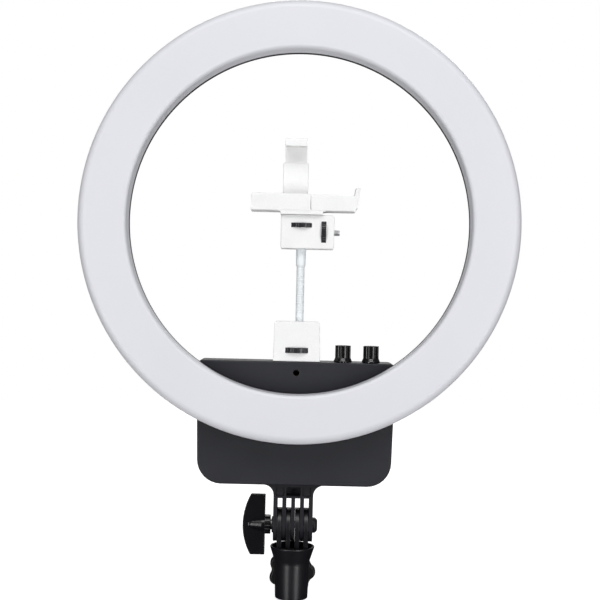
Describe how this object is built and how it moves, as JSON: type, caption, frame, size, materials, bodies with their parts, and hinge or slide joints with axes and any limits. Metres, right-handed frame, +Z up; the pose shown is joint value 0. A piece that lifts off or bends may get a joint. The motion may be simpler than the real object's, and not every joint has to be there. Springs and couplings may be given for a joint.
{
  "type": "ring light",
  "caption": "Bi-colour LED ring light with a rear control box, dimmer knobs, a bendable phone clamp and a tilting stand socket.",
  "frame": {"origin": "centre of the mouth of the stand socket's spigot bore", "axes": "+Z up along the bore and the object, lamp facing -Y, dimmer knobs on the +X side"},
  "size_m": [0.45, 0.098, 0.6209],
  "materials": {
    "socket_black": "satin moulded nylon",
    "bracket_black": "fine moulded texture",
    "shell_charcoal": "fine spark-eroded texture",
    "ring_black": "fine spark-eroded texture",
    "diffuser_milk": "milky, satin face",
    "holder_white": "smooth moulded white",
    "neck_white": "white coated, ribbed",
    "wheel_black": "knurled rim",
    "knob_black": "glossy, fluted",
    "switch_black": "semi-gloss",
    "steel": "zinc plated",
    "screw_black": "black oxide",
    "brass": "turned",
    "board_green": "solder mask",
    "panel_white": "white solder mask",
    "led_cool": "phosphor in a white frame",
    "led_warm": "phosphor in a white frame",
    "heat_sink_metal": "extruded",
    "coil_copper": "enamelled copper wire",
    "capacitor_sleeve": "shrink sleeve",
    "wire_sleeve": "insulated wire",
    "rubber_black": "moulded rubber",
    "pad_white": "soft silicone"
  },
  "bodies": {
    "stand_socket": {"stand_socket": "socket_black", "clamp_insert": "brass"},
    "clamp_screw": {"clamp_stud": "steel"},
    "clamp_knob": {"clamp_knob": "bracket_black"},
    "light_head": {"tilt_bracket": "bracket_black", "tilt_nut": "bracket_black", "box_front_shell": "shell_charcoal", "box_rear_cover": "shell_charcoal", "cover_screws": "screw_black", "box_screws": "screw_black", "accessory_insert": "brass", "holder_insert": "brass", "driver_board": "board_green", "board_screws": "screw_black", "heat_sink": "heat_sink_metal", "driver_coil": "coil_copper", "driver_capacitors": "capacitor_sleeve", "dc_jack": "switch_black", "switch_housing": "switch_black", "box_leads": "wire_sleeve", "led_lead": "wire_sleeve", "wire_grommet": "rubber_black", "pot_nuts": "steel", "pot_washers": "steel", "left_pot": "steel", "right_pot": "steel", "ring_diffuser": "diffuser_milk", "ring_housing": "ring_black", "led_panel": "panel_white", "panel_screws": "screw_black", "cool_leds": "led_cool", "warm_leds": "led_warm"},
    "handle_washer": {"handle_washer": "steel"},
    "tilt_handle": {"tilt_handle": "bracket_black", "tilt_bolt": "steel"},
    "power_rocker": {"power_rocker": "switch_black"},
    "left_dimmer": {"left_knob": "knob_black", "left_shaft": "steel"},
    "right_dimmer": {"right_knob": "knob_black", "right_shaft": "steel"},
    "holder_base": {"base_block": "holder_white", "neck_root": "neck_white"},
    "base_wheel": {"base_wheel": "wheel_black", "base_stud": "steel"},
    "neck_link_1": {"neck_link_1": "neck_white"},
    "neck_link_2": {"neck_link_2": "neck_white"},
    "neck_link_3": {"neck_link_3": "neck_white"},
    "holder_head": {"head_block": "holder_white", "neck_tip": "neck_white"},
    "swivel_wheel": {"swivel_wheel": "wheel_black", "swivel_stud": "steel"},
    "side_wheel": {"side_wheel": "wheel_black", "side_stud": "steel"},
    "phone_clamp": {"clamp_housing": "holder_white", "clamp_insert_nut": "brass", "jaw_spring": "steel", "ledge_pad": "pad_white"},
    "side_arm": {"side_arm": "holder_white"},
    "top_jaw": {"top_jaw": "holder_white", "jaw_pad": "pad_white"}
  },
  "joints": [
    {"name": "head_tilt", "type": "hinge", "parent": "stand_socket", "child": "light_head", "pos_m": [0, 0, 0.0763], "axis": [1, 0, 0], "range_deg": [-90, 90]},
    {"name": "handle_back_off", "type": "slide", "parent": "light_head", "child": "handle_washer", "axis": [-1, 0, 0], "range_m": [0, 0.0015]},
    {"name": "handle_turn", "type": "hinge", "parent": "handle_washer", "child": "tilt_handle", "pos_m": [-0.03, 0, 0.0763], "axis": [-1, 0, 0], "range_deg": [0, 430]},
    {"name": "clamp_back_off", "type": "slide", "parent": "stand_socket", "child": "clamp_screw", "axis": [0, 1, 0], "range_m": [0, 0.0025]},
    {"name": "clamp_turn", "type": "hinge", "parent": "clamp_screw", "child": "clamp_knob", "pos_m": [0, 0.035, 0.02], "axis": [0, 1, 0], "range_deg": [0, 718]},
    {"name": "rocker_press", "type": "hinge", "parent": "light_head", "child": "power_rocker", "pos_m": [0.034, 0.017, 0.15], "axis": [0, 0, 1], "range_deg": [0, 18]},
    {"name": "left_dimmer_turn", "type": "hinge", "parent": "light_head", "child": "left_dimmer", "pos_m": [0.0484, -0.008, 0.2486], "axis": [0, 0, 1], "range_deg": [-150, 150]},
    {"name": "right_dimmer_turn", "type": "hinge", "parent": "light_head", "child": "right_dimmer", "pos_m": [0.0777, -0.008, 0.2486], "axis": [0, 0, 1], "range_deg": [-150, 150]},
    {"name": "holder_swivel", "type": "hinge", "parent": "light_head", "child": "holder_base", "pos_m": [0, -0.006, 0.2488], "axis": [0, 0, 1], "range_deg": [-180, 180]},
    {"name": "base_wheel_turn", "type": "hinge", "parent": "holder_base", "child": "base_wheel", "pos_m": [0, -0.006, 0.2603], "axis": [0, 0, 1], "continuous": true},
    {"name": "neck_pitch_low", "type": "hinge", "parent": "holder_base", "child": "neck_link_1", "pos_m": [0.0022, -0.006, 0.2975], "axis": [1, 0, 0], "range_deg": [-25, 25]},
    {"name": "neck_side_low", "type": "hinge", "parent": "neck_link_1", "child": "neck_link_2", "pos_m": [0.0022, -0.006, 0.3123], "axis": [0, 1, 0], "range_deg": [-25, 25]},
    {"name": "neck_pitch_high", "type": "hinge", "parent": "neck_link_2", "child": "neck_link_3", "pos_m": [0.0022, -0.006, 0.3271], "axis": [1, 0, 0], "range_deg": [-25, 25]},
    {"name": "neck_side_high", "type": "hinge", "parent": "neck_link_3", "child": "holder_head", "pos_m": [0.0022, -0.006, 0.3419], "axis": [0, 1, 0], "range_deg": [-25, 25]},
    {"name": "swivel_wheel_turn", "type": "hinge", "parent": "holder_head", "child": "swivel_wheel", "pos_m": [0.0022, -0.006, 0.3903], "axis": [0, 0, 1], "continuous": true},
    {"name": "side_wheel_turn", "type": "hinge", "parent": "holder_head", "child": "side_wheel", "pos_m": [0.02535, -0.006, 0.3835], "axis": [1, 0, 0], "continuous": true},
    {"name": "clamp_swivel", "type": "hinge", "parent": "holder_head", "child": "phone_clamp", "pos_m": [0.0022, -0.006, 0.4011], "axis": [0, 0, 1], "range_deg": [-180, 180]},
    {"name": "jaw_lift", "type": "slide", "parent": "phone_clamp", "child": "top_jaw", "axis": [0, 0, 1], "range_m": [0, 0.035], "stiffness_N_per_m": 60, "springref_m": -0.05, "deforming": ["jaw_spring"]},
    {"name": "arm_pull", "type": "slide", "parent": "phone_clamp", "child": "side_arm", "axis": [1, 0, 0], "range_m": [0, 0.02]}
  ],
  "couplings": [
    {"joint": "handle_back_off", "follows": "handle_turn", "m_per_rad": 0.00019894},
    {"joint": "clamp_back_off", "follows": "clamp_turn", "m_per_rad": 0.00019894},
    {"joint": "neck_pitch_high", "follows": "neck_pitch_low", "ratio": 1},
    {"joint": "neck_side_high", "follows": "neck_side_low", "ratio": 1}
  ]
}
